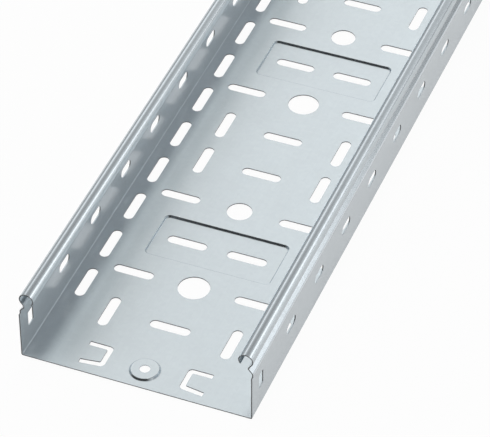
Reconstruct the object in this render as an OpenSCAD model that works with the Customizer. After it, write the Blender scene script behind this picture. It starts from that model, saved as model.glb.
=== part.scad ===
// Perforated cable tray, roll-formed from one strip of galvanised steel sheet.
// X runs across the tray, Y along it and Z up. The origin is at the middle of
// the length and width, on the surface that the pressed panels rest on.

/* [Tray] */
// Overall width across the outer faces of the sides
tray_w = 151; // [140:1:300]
// Height of the sides above the underside of the floor
tray_h = 50; // [45:1:80]
// Length of the tray
tray_l = 2000; // [600:50:3000]
// Thickness of the sheet
sheet_t = 0.7; // [0.6:0.1:1.2]
// Inside radius of the bend between the floor and a side
floor_bend_r = 0.5; // [0.5:0.1:2]

/* [Rolled lip] */
// Outside radius of the roll along the top of each side
roll_r = 4.75; // [4:0.25:6]
// How far the roll turns under, past its innermost point, in degrees
roll_tuck = 42; // [10:1:60]
// Depth of the groove below the roll
groove_depth = 2.7; // [2.4:0.1:3.2]
// Inside radius of the groove's bends
groove_bend_r = 1; // [0.8:0.1:1.4]
// Lean of the groove's lower flank from upright, in degrees
low_lean = 40; // [35:1:50]
// Lean of the groove's upper flank from upright, in degrees
high_lean = 35; // [30:1:45]
// Length that the lip stops short of the tray's end
lip_setback = 1.6; // [0.5:0.1:4]
// Height of plain side, below the groove, that stops short with the lip
setback_drop = 1.7; // [0.5:0.1:4]

/* [Floor perforation] */
// Distance between rows of holes
row_pitch = 38.6; // [34:0.1:50]
// Least distance from the tray's end to its first row
row_margin = 54.3; // [45:0.1:70]
// Width of a floor slot
slot_w = 6.8; // [5:0.1:8]
// Overall length of a floor slot
slot_l = 26.6; // [20:0.1:28]
// Distance from the middle of the floor to the outer slots of a row
slot_offset = 40.7; // [36:0.1:44]
// Distance from a side's outer face to the slots beside it
edge_inset = 10.8; // [8:0.1:12]
// Diameter of the large round holes
large_hole_d = 20.5; // [16:0.1:24]
// Diameter of the small round holes
small_hole_d = 16.5; // [12:0.1:20]

/* [Pressed panels] */
// Size of a panel across the tray
panel_w = 85; // [80:1:96]
// Size of a panel along the tray
panel_l = 38.7; // [30:0.1:44]
// Depth that a panel is pressed below the floor
panel_depth = 1.4; // [0.9:0.1:2]
// Corner radius of a panel
panel_r = 2.5; // [2:0.1:8]
// Distance from the middle of the floor to a panel's slots
panel_slot_offset = 20.35; // [18:0.05:22]

/* [Tray ends] */
// Distance from the tray's end to its raised boss
boss_y = 14.6; // [12:0.1:20]
// Diameter of the raised boss
boss_d = 18.4; // [12:0.1:22]
// Height of the boss above the floor
boss_rise = 1.2; // [0.9:0.1:2]
// Diameter of the bolt hole in the boss
boss_hole_d = 6.6; // [5:0.1:8]
// Distance from the tray's end to the middle of the locking tabs
tab_y = 16.1; // [14:0.1:20]
// Distance from the middle of the floor to the tip of a tab's cut
tab_offset = 24.6; // [20:0.1:30]
// Length of a tab's cut across the tray
tab_cut_l = 16; // [12:0.1:20]
// Width of a tab's cut along the tray
tab_cut_w = 19.6; // [16:0.1:22]
// Width of the slit around a tab
tab_slit = 3.4; // [2:0.1:4]
// Slant of the slit nearest the tray's end, in degrees
tab_slant = 6; // [0:0.5:10]
// Outer corner radius of the slit
tab_r = 3; // [1:0.1:3]

/* [Side slots] */
// Width of a side slot
side_slot_w = 7; // [5:0.1:9]
// Overall length of a side slot
side_slot_l = 15; // [12:0.5:25]
// Height of the side slots above the underside of the floor
side_slot_z = 20.5; // [15:0.5:25]
// Distance from the tray's end to the first lengthwise side slot
side_first = 64.8; // [50:0.1:80]
// Distance between the lengthwise side slots
side_pitch = 48.25; // [40:0.05:60]
// Least distance from the last lengthwise side slot to the far end
side_last = 45; // [40:1:80]
// Distance from the tray's end to its upright side slot
upright_y = 14.4; // [12:0.1:22]
// Overall length of the upright side slot
upright_l = 12; // [10:0.5:16]

/* [Hidden] */
$fn = 48;
// Overlap of a cut past the face that it opens
cut = 1;
// Largest turn of the sheet between two lines of a drawn bend, in degrees
bend_step = 11;

// Floor heights, with the panels' undersides at zero
floor_z = panel_depth;
floor_mid = floor_z + sheet_t / 2;
floor_top = floor_z + sheet_t;
side_top = floor_z + tray_h;

// Bend table of half the strip, from the middle of the floor out and up to the lip's free edge.
// Each row is a straight run, the turn after it in degrees, and the inside radius of that turn.
// A turn below zero closes towards the inside of the tray.
floor_run = tray_w / 2 - floor_bend_r - sheet_t;
shoulder_r = groove_bend_r + sheet_t;
low_run = (groove_depth - (shoulder_r + groove_bend_r) * (1 - cos(low_lean))) / sin(low_lean);
low_rise = (shoulder_r + groove_bend_r) * sin(low_lean) + low_run * cos(low_lean);
high_run = (groove_depth - (roll_r + groove_bend_r) * (1 - cos(high_lean))) / sin(high_lean);
high_rise = (roll_r + groove_bend_r) * sin(high_lean) + high_run * cos(high_lean);
wall_run = tray_h - floor_bend_r - sheet_t - low_rise - high_rise - roll_r;
bend_table = [
    [floor_run, -90, floor_bend_r],
    [wall_run, -low_lean, groove_bend_r],
    [low_run, low_lean + high_lean, groove_bend_r],
    [high_run, -(high_lean + 90), roll_r - sheet_t],
    [0, -(90 + roll_tuck), roll_r - sheet_t]
];
setback_z = floor_z + sheet_t + floor_bend_r + wall_run - setback_drop;

// Rows of the floor pattern, centred between the ends
row_gaps = round((tray_l - 2 * row_margin) / row_pitch);
first_row = -row_gaps * row_pitch / 2;
row_kinds = ["slots", "large", "panel", "small", "slots"];
function row_y(i) = first_row + i * row_pitch;
function row_kind(i) = row_kinds[i % len(row_kinds)];
panel_rows = [for (i = [0 : row_gaps]) if (row_kind(i) == "panel") i];

// Lengthwise slots of a side, counted on from the near end
side_gaps = floor((tray_l - side_first - side_last) / side_pitch);

// Slot with round ends, its length along X
module slot(length, width) {
    straight = length - width;
    square([straight, width], center = true);
    for (x = [-straight / 2, straight / 2]) translate([x, 0]) circle(d = width);
}

// Rectangle with round corners, centred
module round_rect(width, length, r) {
    square([width - 2 * r, length], center = true);
    square([width, length - 2 * r], center = true);
    for (x = [-1, 1], y = [-1, 1])
        translate([x * (width / 2 - r), y * (length / 2 - r)]) circle(r);
}

// Stations along the strip's outer face, each a place and the heading there
function right_of(heading) = [sin(heading), -cos(heading)];
function ahead(station, run) =
    [station[0] + run * [cos(station[1]), sin(station[1])], station[1]];
function turned(station, turn, inside_r) =
    let (reach = turn < 0 ? inside_r + sheet_t : -inside_r)
    let (centre = station[0] + reach * right_of(station[1]))
    [centre - reach * right_of(station[1] + turn), station[1] + turn];
function bend_stations(start, run, turn, inside_r) =
    let (steps = ceil(abs(turn) / bend_step))
    [for (k = [run > 0 ? 0 : 1 : steps]) turned(ahead(start, run), turn * k / steps, inside_r)];
function stations(start, row = 0) =
    row == len(bend_table) ? [] :
    let (bend = bend_table[row])
    let (made = bend_stations(start, bend[0], bend[1], bend[2]))
    concat(made, stations(made[len(made) - 1], row + 1));
function mirrored(points) = [for (p = points) [-p[0], p[1]]];
function reversed(points) = [for (i = [len(points) - 1 : -1 : 0]) points[i]];

// Section of the strip, from one lip's free edge to the other's
module strip_section() {
    half = stations([[0, floor_z], 180]);
    outer = [for (s = half) s[0]];
    inner = [for (s = half) s[0] + sheet_t * right_of(s[1])];
    polygon(concat(reversed(outer), mirrored(outer), reversed(mirrored(inner)), inner));
}

// Rolled strip: floor, sides, grooves and lips at full length
module rolled_strip() {
    rotate([90, 0, 0]) linear_extrude(tray_l, center = true) strip_section();
}

// Underside of one pressed panel
module panel_body() {
    linear_extrude(floor_mid) round_rect(panel_w + 2 * sheet_t, panel_l + 2 * sheet_t, panel_r + sheet_t);
}

// Hollow of one pressed panel
module panel_hollow() {
    translate([0, 0, sheet_t]) linear_extrude(floor_top) round_rect(panel_w, panel_l, panel_r);
}

// Slit around a locking tab, open towards the side, for the tab at +X
module tab_slit() {
    slant_rise = tab_cut_l * tan(tab_slant);
    tip = tab_offset;
    root = tab_offset + tab_cut_l;
    low = -tab_cut_w / 2;
    high = tab_cut_w / 2;
    difference() {
        polygon([[tip, low + slant_rise], [root, low], [root, high], [tip, high]]);
        polygon([
            [tip + tab_slit, low + slant_rise + tab_slit],
            [root + cut, low + tab_slit],
            [root + cut, high - tab_slit],
            [tip + tab_slit, high - tab_slit]
        ]);
        tab_corner(tip, high, -1);
        tab_corner(tip, low + slant_rise, 1);
    }
}

// What a rounded outer corner of the slit leaves standing
module tab_corner(x, y, side) {
    translate([x, y]) difference() {
        translate([-cut, side > 0 ? -cut : -tab_r]) square([cut + tab_r, cut + tab_r]);
        translate([tab_r, side * tab_r]) circle(tab_r);
    }
}

// Holes of one row of the floor pattern
module row_holes(kind) {
    if (kind == "slots") {
        slot(slot_l, slot_w);
        for (x = [-slot_offset, slot_offset]) translate([x, 0]) rotate(90) slot(slot_l, slot_w);
    } else if (kind == "panel") {
        for (x = [-panel_slot_offset, panel_slot_offset]) translate([x, 0]) slot(slot_l, slot_w);
    } else {
        circle(d = kind == "large" ? large_hole_d : small_hole_d);
        for (x = [-slot_offset, slot_offset]) translate([x, 0]) slot(slot_l, slot_w);
    }
}

// All holes in the floor
module floor_holes() {
    edge_x = tray_w / 2 - edge_inset;
    translate([0, 0, -cut]) linear_extrude(floor_top + boss_rise + 2 * cut) {
        for (i = [0 : row_gaps]) translate([0, row_y(i)]) row_holes(row_kind(i));
        for (i = [0 : row_gaps - 1], x = [-edge_x, edge_x])
            translate([x, row_y(i) + row_pitch / 2]) rotate(90) slot(slot_l, slot_w);
        for (turn = [0, 180]) rotate(turn) {
            translate([0, boss_y - tray_l / 2]) circle(d = boss_hole_d);
            translate([0, tab_y - tray_l / 2]) {
                tab_slit();
                mirror([1, 0]) tab_slit();
            }
        }
    }
}

// All holes through the two sides
module side_holes() {
    translate([tray_w / 2 + cut, 0, floor_z + side_slot_z]) rotate([90, 0, -90])
        linear_extrude(tray_w + 2 * cut) {
            for (i = [0 : side_gaps])
                translate([tray_l / 2 - side_first - i * side_pitch, 0]) slot(side_slot_l, side_slot_w);
            for (y = [-1, 1])
                translate([y * (tray_l / 2 - upright_y), 0]) rotate(90) slot(upright_l, side_slot_w);
        }
}

// Ends of the lips that stop short of the tray's ends
module lip_trims() {
    for (turn = [0, 180]) rotate(turn)
        translate([-tray_w / 2 - cut, tray_l / 2 - lip_setback, setback_z])
            cube([tray_w + 2 * cut, lip_setback + cut, side_top]);
}

// Places the raised bosses at both ends of the tray
module at_bosses(z) {
    for (y = [-1, 1]) translate([0, y * (tray_l / 2 - boss_y), z]) children();
}

// The whole tray, one strip of sheet
module tray() {
    color("#b9bec2") difference() {
        union() {
            rolled_strip();
            for (i = panel_rows) translate([0, row_y(i), 0]) panel_body();
            at_bosses(floor_mid) cylinder(d = boss_d, h = sheet_t / 2 + boss_rise);
        }
        for (i = panel_rows) translate([0, row_y(i), 0]) panel_hollow();
        at_bosses(floor_z - cut) cylinder(d = boss_d - 2 * sheet_t, h = cut + boss_rise);
        floor_holes();
        side_holes();
        lip_trims();
    }
}

tray();
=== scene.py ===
import math

import bmesh
import bpy
from mathutils import Euler, Matrix, Vector


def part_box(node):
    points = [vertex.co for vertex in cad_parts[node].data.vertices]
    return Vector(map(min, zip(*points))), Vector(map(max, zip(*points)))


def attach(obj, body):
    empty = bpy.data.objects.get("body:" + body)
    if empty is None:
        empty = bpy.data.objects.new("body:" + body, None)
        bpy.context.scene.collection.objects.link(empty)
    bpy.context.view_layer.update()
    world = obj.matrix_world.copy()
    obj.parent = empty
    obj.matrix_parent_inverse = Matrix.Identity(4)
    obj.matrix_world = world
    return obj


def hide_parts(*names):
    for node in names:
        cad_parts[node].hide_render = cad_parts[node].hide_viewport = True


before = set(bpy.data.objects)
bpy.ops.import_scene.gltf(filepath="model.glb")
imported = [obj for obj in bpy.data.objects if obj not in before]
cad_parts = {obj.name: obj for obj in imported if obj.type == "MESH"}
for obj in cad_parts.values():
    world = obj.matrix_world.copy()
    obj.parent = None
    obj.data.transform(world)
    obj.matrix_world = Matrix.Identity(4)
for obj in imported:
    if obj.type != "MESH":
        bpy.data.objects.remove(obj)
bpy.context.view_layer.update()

# The strip. The tray is one strip of zinc-coated steel sheet, roll-formed along its length:
# a flat floor, two upright sides, a groove near the top of each side and a lip rolled inwards.
# Its section is a bend table, followed here along the sheet's inner face.
mm = 0.001
quarter_turn = math.radians(90)
half_turn = math.radians(180)
tray_low, tray_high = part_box("tray")
tray_w = tray_high.x - tray_low.x
tray_l = tray_high.y - tray_low.y
tray_end = tray_l / 2
panel_depth = 1.4 * mm
side_h = tray_high.z - tray_low.z - panel_depth
sheet_t = 0.7 * mm
floor_top = panel_depth + sheet_t
floor_bend_r = 0.5 * mm
roll_r = 4.75 * mm
roll_tuck = math.radians(42)
groove_depth = 2.7 * mm
groove_bend_r = 1 * mm
low_lean = math.radians(40)
high_lean = math.radians(35)
lip_setback = 1.6 * mm
setback_drop = 1.7 * mm
bend_step = math.radians(7.5)

floor_run = tray_w / 2 - floor_bend_r - sheet_t
bend_pair = 2 * groove_bend_r + sheet_t
low_run = (groove_depth - bend_pair * (1 - math.cos(low_lean))) / math.sin(low_lean)
low_rise = bend_pair * math.sin(low_lean) + low_run * math.cos(low_lean)
roll_pair = roll_r + groove_bend_r
high_run = (groove_depth - roll_pair * (1 - math.cos(high_lean))) / math.sin(high_lean)
high_rise = roll_pair * math.sin(high_lean) + high_run * math.cos(high_lean)
wall_run = side_h - floor_bend_r - sheet_t - low_rise - high_rise - roll_r
wall_low = floor_top + floor_bend_r
wall_x = tray_w / 2 - sheet_t
plain_run = wall_run - setback_drop


def inner_side(heading):
    return Vector((-math.sin(heading), math.cos(heading)))


def bent(place, heading, turn, inside_r):
    """Places along the inner face through one bend, which closes inwards where its turn is above zero."""
    reach = inside_r if turn > 0 else -(inside_r + sheet_t)
    centre = place + reach * inner_side(heading)
    steps = math.ceil(abs(turn) / bend_step)
    return [centre - reach * inner_side(heading + turn * k / steps) for k in range(steps + 1)]


floor_bend = bent(Vector((floor_run, floor_top)), 0, quarter_turn, floor_bend_r)
lip_section = [Vector((wall_x, wall_low + plain_run))]
heading = quarter_turn
for run, turn, inside_r in (
    (setback_drop, low_lean, groove_bend_r),
    (low_run, -low_lean - high_lean, groove_bend_r),
    (high_run, high_lean + half_turn + roll_tuck, roll_r - sheet_t),
):
    run_end = lip_section[-1] + run * Vector((math.cos(heading), math.sin(heading)))
    lip_section += bent(run_end, heading, turn, inside_r)
    heading += turn

# Punches. Rows of slots and round holes are punched through the flat strip before it is rolled.
# Every hole keeps a narrow ring of sheet round it, so that its sheared edge stays a clean loop.


def sockets(tree, inputs, outputs):
    """Gives a tree its named inputs and outputs, and returns its inner ends."""
    for name, kind in inputs.items():
        tree.interface.new_socket(name, in_out="INPUT", socket_type=kind)
    for name, kind in outputs.items():
        tree.interface.new_socket(name, in_out="OUTPUT", socket_type=kind)
    return tree.nodes.new("NodeGroupInput").outputs, tree.nodes.new("NodeGroupOutput").inputs


def put(tree, kind, fed=None, **settings):
    """Adds a node with its settings, feeds its sockets, and returns its outputs."""
    made = tree.nodes.new(kind)
    for name, value in settings.items():
        setattr(made, name, value)
    for name, value in (fed or {}).items():
        for source in value if isinstance(value, list) else [value]:
            if isinstance(source, bpy.types.NodeSocket):
                tree.links.new(source, made.inputs[name])
            else:
                made.inputs[name].default_value = source
    return made.outputs


punch = bpy.data.node_groups.new("punch_row", "GeometryNodeTree")
given, result = sockets(
    punch,
    {
        "Length": "NodeSocketFloat",
        "Width": "NodeSocketFloat",
        "Roundness": "NodeSocketFloat",
        "Corner points": "NodeSocketInt",
        "Turn": "NodeSocketVector",
        "First": "NodeSocketVector",
        "Step": "NodeSocketVector",
        "Count": "NodeSocketInt",
    },
    {"Outlines": "NodeSocketGeometry"},
)
blank = put(
    punch,
    "GeometryNodeCurvePrimitiveQuadrilateral",
    {"Width": given["Length"], "Height": given["Width"]},
)
punch_r = put(punch, "ShaderNodeMath", {0: given["Width"], 1: given["Roundness"]}, operation="MULTIPLY")
outline = put(
    punch,
    "GeometryNodeFilletCurve",
    {"Curve": blank[0], "Count": given["Corner points"], "Radius": punch_r[0]},
    mode="POLY",
)
places = put(
    punch,
    "GeometryNodeMeshLine",
    {"Count": given["Count"], "Start Location": given["First"], "Offset": given["Step"]},
)
copies = put(
    punch,
    "GeometryNodeInstanceOnPoints",
    {"Points": places[0], "Instance": outline[0], "Rotation": given["Turn"]},
)
realised = put(punch, "GeometryNodeRealizeInstances", {"Geometry": copies[0]})
punch.links.new(realised[0], result["Outlines"])

ring = bpy.data.node_groups.new("edge_ring", "GeometryNodeTree")
given, result = sockets(
    ring,
    {"Outlines": "NodeSocketGeometry", "Profile": "NodeSocketGeometry"},
    {
        "Ring": "NodeSocketGeometry",
        "Inner loops": "NodeSocketGeometry",
        "Outer loops": "NodeSocketGeometry",
    },
)
along = put(ring, "GeometryNodeSplineParameter")
marked = put(
    ring,
    "GeometryNodeStoreNamedAttribute",
    {"Geometry": given["Profile"], "Name": "across", "Value": along["Factor"]},
)
swept = put(ring, "GeometryNodeCurveToMesh", {"Curve": given["Outlines"], "Profile Curve": marked[0]})
across = put(ring, "GeometryNodeInputNamedAttribute", {"Name": "across"})
neighbours = put(ring, "GeometryNodeInputMeshEdgeNeighbors")
rim = put(ring, "FunctionNodeCompare", {2: neighbours[0], 3: 1}, data_type="INT", operation="EQUAL")
ring.links.new(swept[0], result["Ring"])
profile_start, profile_end = 0.01, 0.99
for loop, operation, limit in (
    ("Inner loops", "LESS_THAN", profile_start),
    ("Outer loops", "GREATER_THAN", profile_end),
):
    side = put(ring, "FunctionNodeCompare", {0: across[0], 1: limit}, operation=operation)
    chosen = put(ring, "FunctionNodeBooleanMath", {0: rim[0], 1: side[0]}, operation="AND")
    cut_loop = put(ring, "GeometryNodeMeshToCurve", {"Mesh": swept[0], "Selection": chosen[0]})
    ring.links.new(cut_loop[0], result[loop])

tray_tree = bpy.data.node_groups.new("tray", "GeometryNodeTree")
size_names = (
    "Tray length",
    "Floor width",
    "Slot length",
    "Slot width",
    "Large hole",
    "Small hole",
    "Panel width",
    "Panel length",
    "Panel corner",
    "Boss foot",
    "Boss hole",
    "Side slot length",
    "Side slot width",
    "Upright slot length",
    "Lip length",
)
tray_given, tray_result = sockets(
    tray_tree,
    {"Drawn outlines": "NodeSocketGeometry", "Sheet": "NodeSocketMaterial"}
    | {name: "NodeSocketFloat" for name in size_names},
    {"Tray": "NodeSocketGeometry"},
)


def form(kind, fed=None, **settings):
    """Adds a node to the tray's own tree."""
    return put(tray_tree, kind, fed, **settings)


half_round = 0.495


def holes(length, width, first, step, count, upright=False, corner_points=4, roundness=half_round):
    """A row of slots, or of round holes where length and width are one, as outlines."""
    sizes = {
        "Length": length,
        "Width": width,
        "Roundness": roundness,
        "Corner points": corner_points,
        "Turn": (0, 0, quarter_turn if upright else 0),
        "First": first,
        "Step": step,
        "Count": count,
    }
    return form("GeometryNodeGroup", sizes, node_tree=punch)[0]


def ringed(outlines, profile):
    """Sweeps a profile round outlines. The result has the ring and its two loops."""
    return form("GeometryNodeGroup", {"Outlines": outlines, "Profile": profile}, node_tree=ring)


def joined(*parts):
    return form("GeometryNodeJoinGeometry", {"Geometry": list(reversed(parts))})[0]


def moved(part, by=(0, 0, 0), turn=(0, 0, 0), scale=(1, 1, 1)):
    return form(
        "GeometryNodeTransform",
        {"Geometry": part, "Translation": by, "Rotation": Euler(turn), "Scale": scale},
    )[0]


def filled(*loops):
    return form("GeometryNodeFillCurve", {"Curve": joined(*loops)})[0]


def placed(part, first, step, count):
    """Copies of a part along a line."""
    spots = form("GeometryNodeMeshLine", {"Count": count, "Start Location": first, "Offset": step})
    spread = form("GeometryNodeInstanceOnPoints", {"Points": spots[0], "Instance": part})
    return form("GeometryNodeRealizeInstances", {"Geometry": spread[0]})[0]


def mirrored(part):
    return joined(part, moved(part, scale=(-1, 1, 1)))


drawn_kind = form("GeometryNodeInputNamedAttribute", {"Name": "kind"}, data_type="INT")[0]


def drawn(kind):
    """Picks one kind of the outlines that are drawn point by point below."""
    chosen = form("FunctionNodeCompare", {2: drawn_kind, 3: kind}, data_type="INT", operation="EQUAL")
    return form(
        "GeometryNodeSeparateGeometry",
        {"Geometry": tray_given["Drawn outlines"], "Selection": chosen[0]},
    )[0]


collar_w = 0.5 * mm
collar = form("GeometryNodeCurvePrimitiveLine", {"Start": (0, 0, 0), "End": (collar_w, 0, 0)})[0]

# Floor perforation. Five kinds of row repeat along the floor: slots, large holes, a pressed panel,
# small holes and slots again, with a line of lengthwise slots beside each side.
slot_w = 6.8 * mm
slot_l = 26.6 * mm
slot_offset = 40.7 * mm
border_margin = 10.8 * mm
border_x = tray_w / 2 - border_margin
large_hole_d = 20.5 * mm
small_hole_d = 16.5 * mm
hole_corner_points = 7
row_pitch = 38.6 * mm
row_margin = 54.3 * mm
row_gaps = round((tray_l - 2 * row_margin) / row_pitch)
first_row_y = -row_gaps * row_pitch / 2
row_kinds = 5
first_slots, large_holes, panel_row, small_holes, last_slots = range(row_kinds)
between_rows = 0.5
repeats = (row_gaps + 1) // row_kinds
repeat_step = (0, row_kinds * row_pitch, 0)


def row_start(row, x=0):
    return (x, first_row_y + row * row_pitch, 0)


def slots(first, step, count, upright=False):
    """A row of the floor's slots, which are all punched with one tool."""
    return holes(tray_given["Slot length"], tray_given["Slot width"], first, step, count, upright=upright)


floor_rows = []
for row in (first_slots, last_slots):
    floor_rows.append(slots(row_start(row), repeat_step, repeats))
    for x in (-slot_offset, slot_offset):
        floor_rows.append(slots(row_start(row, x), repeat_step, repeats, upright=True))
for row, hole in ((large_holes, tray_given["Large hole"]), (small_holes, tray_given["Small hole"])):
    floor_rows.append(
        holes(hole, hole, row_start(row), repeat_step, repeats, corner_points=hole_corner_points)
    )
    for x in (-slot_offset, slot_offset):
        floor_rows.append(slots(row_start(row, x), repeat_step, repeats))
for x in (-border_x, border_x):
    floor_rows.append(slots(row_start(between_rows, x), (0, row_pitch, 0), row_gaps, upright=True))
floor_edges = ringed(joined(*floor_rows), collar)

# Pressed panels. Every fifth row a rectangle of the floor is pressed down between dies,
# with two slots across it. The sheet runs into it over a sloping wall with rounded bends.
panel_w = 85 * mm
panel_l = 38.7 * mm
panel_r = 3.5 * mm
panel_corner_points = 5
panel_slope = math.radians(64)
panel_slot_x = 20.35 * mm
press_bend_r = 0.45 * mm
press_bend_points = 3


def press_profile(depth, slope):
    """Open section of a pressed wall, from the plate out to the floor. Its depth is downwards."""
    run = abs(depth) / math.tan(slope)
    corners = form(
        "GeometryNodeCurvePrimitiveQuadrilateral",
        {
            "Point 1": (-run - press_bend_r, depth, 0),
            "Point 2": (-run, depth, 0),
            "Point 3": (0, 0, 0),
            "Point 4": (press_bend_r, 0, 0),
        },
        mode="POINTS",
    )
    opened = form("GeometryNodeSetSplineCyclic", {"Geometry": corners[0], "Cyclic": False})
    return form(
        "GeometryNodeFilletCurve",
        {"Curve": opened[0], "Count": press_bend_points, "Radius": press_bend_r},
        mode="POLY",
    )[0]


panel_blank = form(
    "GeometryNodeCurvePrimitiveQuadrilateral",
    {"Width": tray_given["Panel width"], "Height": tray_given["Panel length"]},
)[0]
panel_outline = form(
    "GeometryNodeFilletCurve",
    {"Curve": panel_blank, "Count": panel_corner_points, "Radius": tray_given["Panel corner"]},
    mode="POLY",
)[0]
panel_wall = ringed(panel_outline, press_profile(panel_depth, panel_slope))
panel_slots = slots((-panel_slot_x, 0, 0), (2 * panel_slot_x, 0, 0), 2)
panel_edges = ringed(panel_slots, collar)
panel_plate = filled(panel_wall["Inner loops"], panel_edges["Outer loops"])
panel = joined(
    panel_wall["Ring"],
    moved(joined(panel_plate, panel_edges["Ring"]), by=(0, 0, -panel_depth)),
)
panels = placed(panel, row_start(panel_row), repeat_step, repeats)
panel_loops = placed(panel_wall["Outer loops"], row_start(panel_row), repeat_step, repeats)

# Tray ends. A round boss with a bolt hole is pressed up in the middle of each end, and a slit
# is punched round a locking tab on both sides of it.
boss_y = 14.6 * mm
boss_d = 18.4 * mm
boss_rise = 1.2 * mm
boss_slope = math.radians(56)
boss_foot_d = boss_d + boss_rise / math.tan(boss_slope)
boss_corner_points = 9
boss_hole_d = 6.6 * mm
boss_hole_corner_points = 5
tab_y = 16.1 * mm
tab_tip = 24.6 * mm
tab_cut_l = 16 * mm
tab_cut_w = 19.6 * mm
tab_slit = 3.4 * mm
tab_lean = math.radians(6)
tab_rise = tab_cut_l * math.tan(tab_lean)
tab_r = 3 * mm
tab_corner_r = 0.8 * mm
punch_corner_r = 0.3 * mm
slit_corner_points = 4
slit_kind, wall_kind, bend_kind, lip_kind = range(4)


def round_outline(across, corner_points):
    return holes(across, across, (0, 0, 0), (0, 0, 0), 1, corner_points=corner_points)


boss_outline = round_outline(tray_given["Boss foot"], boss_corner_points)
boss_wall = ringed(boss_outline, press_profile(-boss_rise, boss_slope))
boss_edge = ringed(round_outline(tray_given["Boss hole"], boss_hole_corner_points), collar)
boss_plate = filled(boss_wall["Inner loops"], boss_edge["Outer loops"])
boss = joined(
    boss_wall["Ring"],
    moved(joined(boss_plate, boss_edge["Ring"]), by=(0, 0, boss_rise)),
)
boss_first = (0, boss_y - tray_end, 0)
boss_step = (0, 2 * (tray_end - boss_y), 0)
bosses = placed(boss, boss_first, boss_step, 2)
boss_loops = placed(boss_wall["Outer loops"], boss_first, boss_step, 2)

tab_root = tab_tip + tab_cut_l
tab_low = tab_y - tray_end - tab_cut_w / 2
tab_high = tab_low + tab_cut_w
slit_outline = [
    (tab_tip, tab_low + tab_rise, tab_r),
    (tab_root, tab_low, punch_corner_r),
    (tab_root, tab_low + tab_slit, punch_corner_r),
    (tab_tip + tab_slit, tab_low + tab_rise + tab_slit, tab_corner_r),
    (tab_tip + tab_slit, tab_high - tab_slit, tab_corner_r),
    (tab_root, tab_high - tab_slit, punch_corner_r),
    (tab_root, tab_high, punch_corner_r),
    (tab_tip, tab_high, tab_r),
]
corner_r = form("GeometryNodeInputNamedAttribute", {"Name": "corner_r"})[0]
slit_curve = form("GeometryNodeMeshToCurve", {"Mesh": drawn(slit_kind)})[0]
slit_round = form(
    "GeometryNodeFilletCurve",
    {"Curve": slit_curve, "Count": slit_corner_points, "Radius": corner_r},
    mode="POLY",
)[0]
slit_edges = ringed(slit_round, collar)


def at_tabs(part):
    near = mirrored(part)
    return joined(near, moved(near, turn=(0, 0, half_turn)))


floor_border = form(
    "GeometryNodeCurvePrimitiveQuadrilateral",
    {"Width": tray_given["Floor width"], "Height": tray_given["Tray length"]},
)[0]
floor_plate = filled(
    floor_border,
    floor_edges["Outer loops"],
    panel_loops,
    boss_loops,
    at_tabs(slit_edges["Outer loops"]),
)
tray_floor = moved(
    joined(floor_plate, floor_edges["Ring"], panels, bosses, at_tabs(slit_edges["Ring"])),
    by=(0, 0, floor_top),
)

# Sides and rolled lips. Each side stands up from a tight bend and has lengthwise bolt slots, with
# an upright, squarer one near each end. The groove and the roll stop just short of the ends.
side_slot_w = 7 * mm
side_slot_l = 15 * mm
side_slot_height = 20.5 * mm
side_slot_z = side_slot_height + panel_depth - wall_low
side_first = 64.8 * mm
side_pitch = 48.25 * mm
side_last = 45 * mm
side_count = math.floor((tray_l - side_first - side_last) / side_pitch) + 1
upright_y = 14.4 * mm
upright_l = 10.6 * mm
upright_roundness = 0.12

side_rows = joined(
    holes(
        tray_given["Side slot length"],
        tray_given["Side slot width"],
        (side_slot_z, side_first - tray_end, 0),
        (0, side_pitch, 0),
        side_count,
        upright=True,
    ),
    holes(
        tray_given["Upright slot length"],
        tray_given["Side slot width"],
        (side_slot_z, upright_y - tray_end, 0),
        (0, 2 * (tray_end - upright_y), 0),
        2,
        roundness=upright_roundness,
    ),
)
side_edges = ringed(side_rows, collar)
lip_end = tray_end - lip_setback
wall_outline = [
    (0, -tray_end),
    (plain_run, -tray_end),
    (plain_run, -lip_end),
    (plain_run, lip_end),
    (plain_run, tray_end),
    (0, tray_end),
]
wall_border = form("GeometryNodeMeshToCurve", {"Mesh": drawn(wall_kind)})[0]
wall_plate = joined(filled(wall_border, side_edges["Outer loops"]), side_edges["Ring"])
wall = moved(wall_plate, by=(wall_x, 0, wall_low), turn=(0, -quarter_turn, 0))


def rolled(kind, length):
    """A drawn section run along the tray."""
    run = form("ShaderNodeCombineXYZ", {"Y": length})[0]
    return form(
        "GeometryNodeExtrudeMesh",
        {"Mesh": drawn(kind), "Offset": run, "Offset Scale": 1},
        mode="EDGES",
    )[0]


floor_bends = rolled(bend_kind, tray_given["Tray length"])
lips = rolled(lip_kind, tray_given["Lip length"])
tray_sides = mirrored(joined(wall, floor_bends, lips))

merge_gap = 0.005 * mm
whole = joined(tray_floor, tray_sides)
whole = form("GeometryNodeRealizeInstances", {"Geometry": whole})[0]
whole = form("GeometryNodeMergeByDistance", {"Geometry": whole, "Distance": merge_gap})[0]
whole = form("GeometryNodeSetMaterial", {"Geometry": whole, "Material": tray_given["Sheet"]})[0]
tray_tree.links.new(whole, tray_result["Tray"])

# The outlines that follow no simple rule are drawn point by point and handed to the tree.
outlines = bmesh.new()
kind_layer = outlines.verts.layers.int.new("kind")
corner_layer = outlines.verts.layers.float.new("corner_r")


def draw(kind, points, closed):
    line = []
    for place, corner in points:
        point = outlines.verts.new(place)
        point[kind_layer] = kind
        point[corner_layer] = corner
        line.append(point)
    for start, end in zip(line, line[1:] + line[:1] if closed else line[1:]):
        outlines.edges.new((start, end))


draw(slit_kind, [((x, y, 0), corner) for x, y, corner in slit_outline], closed=True)
draw(wall_kind, [((x, y, 0), 0) for x, y in wall_outline], closed=True)
draw(bend_kind, [((x, -tray_end, z), 0) for x, z in floor_bend], closed=False)
draw(lip_kind, [((x, -lip_end, z), 0) for x, z in lip_section], closed=False)

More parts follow.
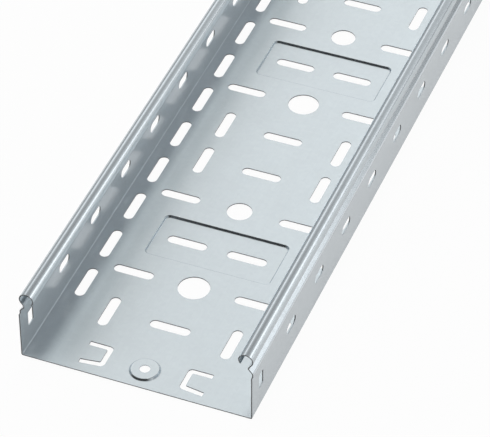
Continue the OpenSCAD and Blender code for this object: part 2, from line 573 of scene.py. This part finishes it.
# Zinc coating. The sheet is hot-dip coated: a satin blue-grey with faint crystal grains, cloudy
# patches and fine lengthwise lines. Rolls and dies burnish the lips and the pressed walls to a
# brighter metal. Sheared edges show dark torn steel, darkened further as painted shade. Lengthwise
# cuts in the sides take the zinc colour instead: painted light, so rims facing up and down read as lit.
zinc_light = (0.655, 0.715, 0.757, 1)
zinc_dark = (0.615, 0.672, 0.711, 1)
crystal = 2.5 * mm
cloud = 25 * mm
roll_line = (0.8 * mm, 60 * mm, 0.8 * mm)
crystal_share = 0.35
line_share = 0.5
cloud_share = 0.6
darkest_tone, lightest_tone = 0.4, 1.1
satin_metal, burnished_metal = 0.5, 0.95
satin_rough, burnished_rough = 0.265, 0.2
light_tone_rough = -0.06
relief = 0.003 * mm


def coated(name):
    """A new material, with its tree and its shader."""
    made = bpy.data.materials.new(name)
    made.use_nodes = True
    return made, made.node_tree, made.node_tree.nodes["Principled BSDF"]


sheet, tree, shader = coated("galvanised_sheet")
where = put(tree, "ShaderNodeTexCoord")["Object"]
crystals = put(
    tree, "ShaderNodeTexVoronoi", {"Vector": where, "Scale": 1 / crystal, "Randomness": 1.0}
)
crystal_tone = put(tree, "ShaderNodeSeparateColor", {"Color": crystals["Color"]})["Red"]
clouds = put(tree, "ShaderNodeTexNoise", {"Vector": where, "Scale": 1 / cloud, "Detail": 3.0})
stretched = put(
    tree, "ShaderNodeMapping", {"Vector": where, "Scale": tuple(1 / size for size in roll_line)}
)
lines = put(tree, "ShaderNodeTexNoise", {"Vector": stretched[0], "Scale": 1.0, "Detail": 2.0})
grain = put(tree, "ShaderNodeMath", {0: crystal_tone, 1: crystal_share}, operation="MULTIPLY")
grain = put(tree, "ShaderNodeMath", {0: lines[0], 1: line_share, 2: grain[0]}, operation="MULTIPLY_ADD")
tone = put(tree, "ShaderNodeMath", {0: clouds[0], 1: cloud_share, 2: grain[0]}, operation="MULTIPLY_ADD")
tone = put(
    tree,
    "ShaderNodeMapRange",
    {"Value": tone[0], "From Min": darkest_tone, "From Max": lightest_tone},
)
colour = put(tree, "ShaderNodeMix", {"Factor": tone[0], "A": zinc_dark, "B": zinc_light}, data_type="RGBA")
tree.links.new(colour["Result"], shader.inputs["Base Color"])
burnish = put(tree, "ShaderNodeAttribute", attribute_name="burnish")["Fac"]
metal = put(
    tree, "ShaderNodeMapRange", {"Value": burnish, "To Min": satin_metal, "To Max": burnished_metal}
)
tree.links.new(metal[0], shader.inputs["Metallic"])
dull = put(
    tree, "ShaderNodeMapRange", {"Value": burnish, "To Min": satin_rough, "To Max": burnished_rough}
)
rough = put(
    tree, "ShaderNodeMath", {0: tone[0], 1: light_tone_rough, 2: dull[0]}, operation="MULTIPLY_ADD"
)
tree.links.new(rough[0], shader.inputs["Roughness"])
bump = put(tree, "ShaderNodeBump", {"Height": grain[0], "Distance": relief, "Strength": 1.0})
tree.links.new(bump[0], shader.inputs["Normal"])

# Sheared edges: the bare steel's own dark grey, darkened further as painted shade on the rims.
steel_and_shade_light = (0.17, 0.174, 0.178, 1)
steel_and_shade_dark = (0.11, 0.113, 0.116, 1)
steel_metal = 0.3
dark_rough, light_rough = 0.5, 0.7
tear = 0.3 * mm
edge, tree, shader = coated("sheared_edge_painted_shade")
shader.inputs["Metallic"].default_value = steel_metal
where = put(tree, "ShaderNodeTexCoord")["Object"]
torn = put(tree, "ShaderNodeTexNoise", {"Vector": where, "Scale": 1 / tear, "Detail": 2.0})[0]
colour = put(tree, "ShaderNodeMix", {"Factor": torn, "A": steel_and_shade_dark, "B": steel_and_shade_light}, data_type="RGBA")
tree.links.new(colour["Result"], shader.inputs["Base Color"])
rough = put(tree, "ShaderNodeMapRange", {"Value": torn, "To Min": dark_rough, "To Max": light_rough})
tree.links.new(rough[0], shader.inputs["Roughness"])

# Forming. The tree runs once on the drawn outlines and gives the sheet's inner face as a mesh,
# with a slot for the zinc and one for the sheared edges.
tray_mesh = bpy.data.meshes.new("tray_outlines")
outlines.to_mesh(tray_mesh)
outlines.free()
former = bpy.data.objects.new("tray_former", tray_mesh)
bpy.context.scene.collection.objects.link(former)
rolling = former.modifiers.new("rolling", "NODES")
rolling.node_group = tray_tree
tray_sizes = {
    "Tray length": tray_l,
    "Floor width": 2 * floor_run,
    "Slot length": slot_l,
    "Slot width": slot_w,
    "Large hole": large_hole_d,
    "Small hole": small_hole_d,
    "Panel width": panel_w,
    "Panel length": panel_l,
    "Panel corner": panel_r,
    "Boss foot": boss_foot_d,
    "Boss hole": boss_hole_d,
    "Side slot length": side_slot_l,
    "Side slot width": side_slot_w,
    "Upright slot length": upright_l,
    "Lip length": 2 * lip_end,
}
inputs = {item.name: item.identifier for item in tray_tree.interface.items_tree if item.in_out == "INPUT"}
rolling[inputs["Sheet"]] = sheet
for name, value in tray_sizes.items():
    rolling[inputs[name]] = value
flat = bpy.data.meshes.new_from_object(former.evaluated_get(bpy.context.evaluated_depsgraph_get()))
bpy.data.objects.remove(former)
flat.materials.clear()
flat.materials.append(sheet)
flat.materials.append(edge)
sheet_slot, edge_slot = range(2)

# The inner face is turned to look up and in, and gets its thickness: straight down under the floor
# and its pressings, where the dies shear the sheet, and square to the sheet on the sides and lips.
shell = bmesh.new()
shell.from_mesh(flat)
bmesh.ops.recalc_face_normals(shell, faces=shell.faces)
largest = max(shell.faces, key=lambda face: abs(face.normal.z) * face.calc_area())
if largest.normal.z < 0:
    bmesh.ops.reverse_faces(shell, faces=shell.faces)
shell.normal_update()
burnish_layer = shell.verts.layers.float.new("burnish")
edge_slack = 0.05 * mm
level_slack = 0.01 * mm
plate_levels = (floor_top - panel_depth, floor_top, floor_top + boss_rise)
pressings_top = floor_top + 2 * boss_rise
groove_low = wall_low + plain_run
flank_share = 0.9
flank_low = groove_low + setback_drop
flank_high = flank_low + flank_share * low_rise
crown_share = 0.35
crown_low = tray_high.z - crown_share * roll_r
inner_faces = list(shell.faces)
cut_loops = [line.link_loops[0] for line in shell.edges if len(line.link_faces) == 1]
under = {}
for point in list(shell.verts):
    on_floor = abs(point.co.x) < floor_run + edge_slack and point.co.z < pressings_top
    outwards = Vector((0, 0, -1)) if on_floor else -point.normal
    below = shell.verts.new(point.co + sheet_t * outwards)
    under[point] = below
    pressed = on_floor and all(abs(point.co.z - z) > level_slack for z in plate_levels)
    on_roll = flank_low < below.co.z < flank_high or below.co.z > crown_low
    point[burnish_layer] = 1 if pressed else 0
    below[burnish_layer] = 1 if pressed or on_roll else 0
for face in inner_faces:
    shell.faces.new([under[point] for point in reversed(face.verts)])
for loop in cut_loops:
    start, end = loop.vert, loop.link_loop_next.vert
    cut_face = shell.faces.new((end, start, under[start], under[end]))
    # Lengthwise cuts in the sides get the zinc colour, not the steel: painted light on rims facing up and
    # down.
    in_side = wall_low < start.co.z < groove_low - collar_w and abs(start.co.y) < lip_end - collar_w
    cut_along_painted_lit = abs(end.co.y - start.co.y) > abs(end.co.z - start.co.z)
    cut_face.material_index = sheet_slot if in_side and cut_along_painted_lit else edge_slot

# Bends shade smoothly, and flat faces stay flat up to the bends beside them.
shell.normal_update()
flat_limit = 0.99999
sharp_turn = math.radians(30)
for face in shell.faces:
    face.smooth = True
for line in shell.edges:
    first, second = line.link_faces
    level = [max(abs(face.normal.x), abs(face.normal.z)) > flat_limit for face in (first, second)]
    turn = first.normal.angle(second.normal, 0)
    line.smooth = turn < sharp_turn and level[0] == level[1]
shell.to_mesh(flat)
shell.free()
tray = bpy.data.objects.new("tray_sheet", flat)
bpy.context.scene.collection.objects.link(tray)
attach(tray, "root")
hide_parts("tray")

# Studio. A wide pale floor that looks white to the camera and in the metal. An overhead lamp and
# a softbox on the left light the satin sheet, three panels behind the tray draw the bright lines
# on its lips, and the room gets dark towards the camera.
half_floor = 30
floor_grey = (0.28, 0.28, 0.28, 1)
white_to_camera = 0.97
white_in_metal = 0.8
ground_corners = [
    (-half_floor, -half_floor, 0),
    (half_floor, -half_floor, 0),
    (half_floor, half_floor, 0),
    (-half_floor, half_floor, 0),
]
ground_mesh = bpy.data.meshes.new("studio_floor")
ground_mesh.from_pydata(ground_corners, [], [(0, 1, 2, 3)])
ground = bpy.data.objects.new("studio_floor", ground_mesh)
bpy.context.scene.collection.objects.link(ground)
white, tree, shader = coated("studio_white")
shader.inputs["Base Color"].default_value = floor_grey
shader.inputs["Roughness"].default_value = 1
shader.inputs["Specular IOR Level"].default_value = 0
rays = put(tree, "ShaderNodeLightPath")
metal_rays = put(
    tree, "ShaderNodeMath", {0: rays["Is Glossy Ray"], 1: rays["Is Transmission Ray"]}, operation="MAXIMUM"
)
metal_rays = put(tree, "ShaderNodeMath", {0: metal_rays[0], 1: white_in_metal}, operation="MULTIPLY")
seen = put(
    tree,
    "ShaderNodeMath",
    {0: rays["Is Camera Ray"], 1: white_to_camera, 2: metal_rays[0]},
    operation="MULTIPLY_ADD",
)
glow = put(tree, "ShaderNodeEmission", {"Color": (1, 1, 1, 1), "Strength": 1.0})
mix = put(tree, "ShaderNodeMixShader", {0: seen[0], 1: shader.outputs[0], 2: glow[0]})
tree.links.new(mix[0], tree.nodes["Material Output"].inputs["Surface"])
ground_mesh.materials.append(white)

room_shades = ((0, 0.36), (0.3, 0.45), (0.5, 0.68), (0.66, 0.66), (0.72, 0.36), (1, 0.24))
dark_side = Vector((-0.25, -0.9, 0.3)).normalized()
dark_begins, dark_full = 0.2, 0.75
dark_share = 0.06
world = bpy.data.worlds.new("studio")
bpy.context.scene.world = world
world.use_nodes = True
tree = world.node_tree
room = tree.nodes["Background"]
room.inputs["Color"].default_value = (1, 1, 1, 1)
direction = put(tree, "ShaderNodeTexCoord")["Generated"]
facing = put(tree, "ShaderNodeVectorMath", {0: direction, 1: dark_side}, operation="DOT_PRODUCT")
lit = put(
    tree,
    "ShaderNodeMapRange",
    {
        "Value": facing["Value"],
        "From Min": dark_begins,
        "From Max": dark_full,
        "To Min": 1.0,
        "To Max": dark_share,
    },
    interpolation_type="SMOOTHSTEP",
)
height = put(tree, "ShaderNodeSeparateXYZ", {"Vector": direction})["Z"]
shades = tree.nodes.new("ShaderNodeValToRGB")
tree.links.new(height, shades.inputs["Fac"])
while len(shades.color_ramp.elements) < len(room_shades):
    shades.color_ramp.elements.new(0.5)
for stop, (up, shade) in zip(shades.color_ramp.elements, room_shades):
    stop.position = up
    stop.color = (shade, shade, shade, 1)
strength = put(tree, "ShaderNodeMath", {0: lit[0], 1: shades.outputs[0]}, operation="MULTIPLY")
tree.links.new(strength[0], room.inputs["Strength"])


def soft_lamp(name, place, along, width, length, radiance, in_metal=True, colour=(1, 1, 1)):
    """A panel facing the tray, its length set along a direction, with a brightness where 1 is white."""
    lamp = bpy.data.lights.new(name, "AREA")
    lamp.shape = "RECTANGLE"
    lamp.color = colour
    lamp.size = width
    lamp.size_y = length
    lamp.energy = radiance * math.pi * width * length
    away = Vector(place).normalized()
    across = Vector(along).cross(away).normalized()
    axes = Matrix((across, away.cross(across), away)).transposed().to_4x4()
    holder = bpy.data.objects.new(name, lamp)
    holder.matrix_world = Matrix.Translation(place) @ axes
    holder.visible_glossy = in_metal
    bpy.context.scene.collection.objects.link(holder)


soft_lamp(
    "overhead_lamp",
    (-1, 2, 7),
    along=(0, 1, 0),
    width=1.4,
    length=2.5,
    radiance=42,
    in_metal=False,
    colour=(1, 1, 0.95),
)
soft_lamp(
    "left_softbox", (-4.4, -0.8, 4), along=(0, 0, 1), width=8, length=5, radiance=3.0, in_metal=False
)
soft_lamp("left_lamp", (-4.9, 6.8, 5.4), along=(0, 0, 1), width=2.8, length=2.8, radiance=0.5)
soft_lamp("right_lamp", (6.5, 4.5, 4.6), along=(-4.6, 0, 6.5), width=4.4, length=3.6, radiance=1.0)
soft_lamp("low_right_lamp", (8.1, 4.5, 1.5), along=(-1.5, 0, 8.1), width=4.4, length=2, radiance=1.0)

# Camera. It stands at the photograph's viewing angle and looks down the tray from its near right
# corner, with a long lens.
photo_w = 490
focal_px = 3046.3
eye = (0.54258, -2.18747, 1.29588)
look_down = math.radians(41.638)
look_left = math.radians(21.650)
lean = math.radians(-0.159)
camera_data = bpy.data.cameras.new("camera")
camera_data.sensor_fit = "HORIZONTAL"
camera_data.sensor_width = 36
camera_data.lens = focal_px / photo_w * camera_data.sensor_width
camera_data.clip_end = 200
camera = bpy.data.objects.new("camera", camera_data)
aim = (
    Matrix.Rotation(look_left, 4, "Z")
    @ Matrix.Rotation(quarter_turn - look_down, 4, "X")
    @ Matrix.Rotation(lean, 4, "Z")
)
camera.matrix_world = Matrix.Translation(eye) @ aim
bpy.context.scene.collection.objects.link(camera)
bpy.context.scene.camera = camera
bpy.context.scene.view_settings.view_transform = "Standard"
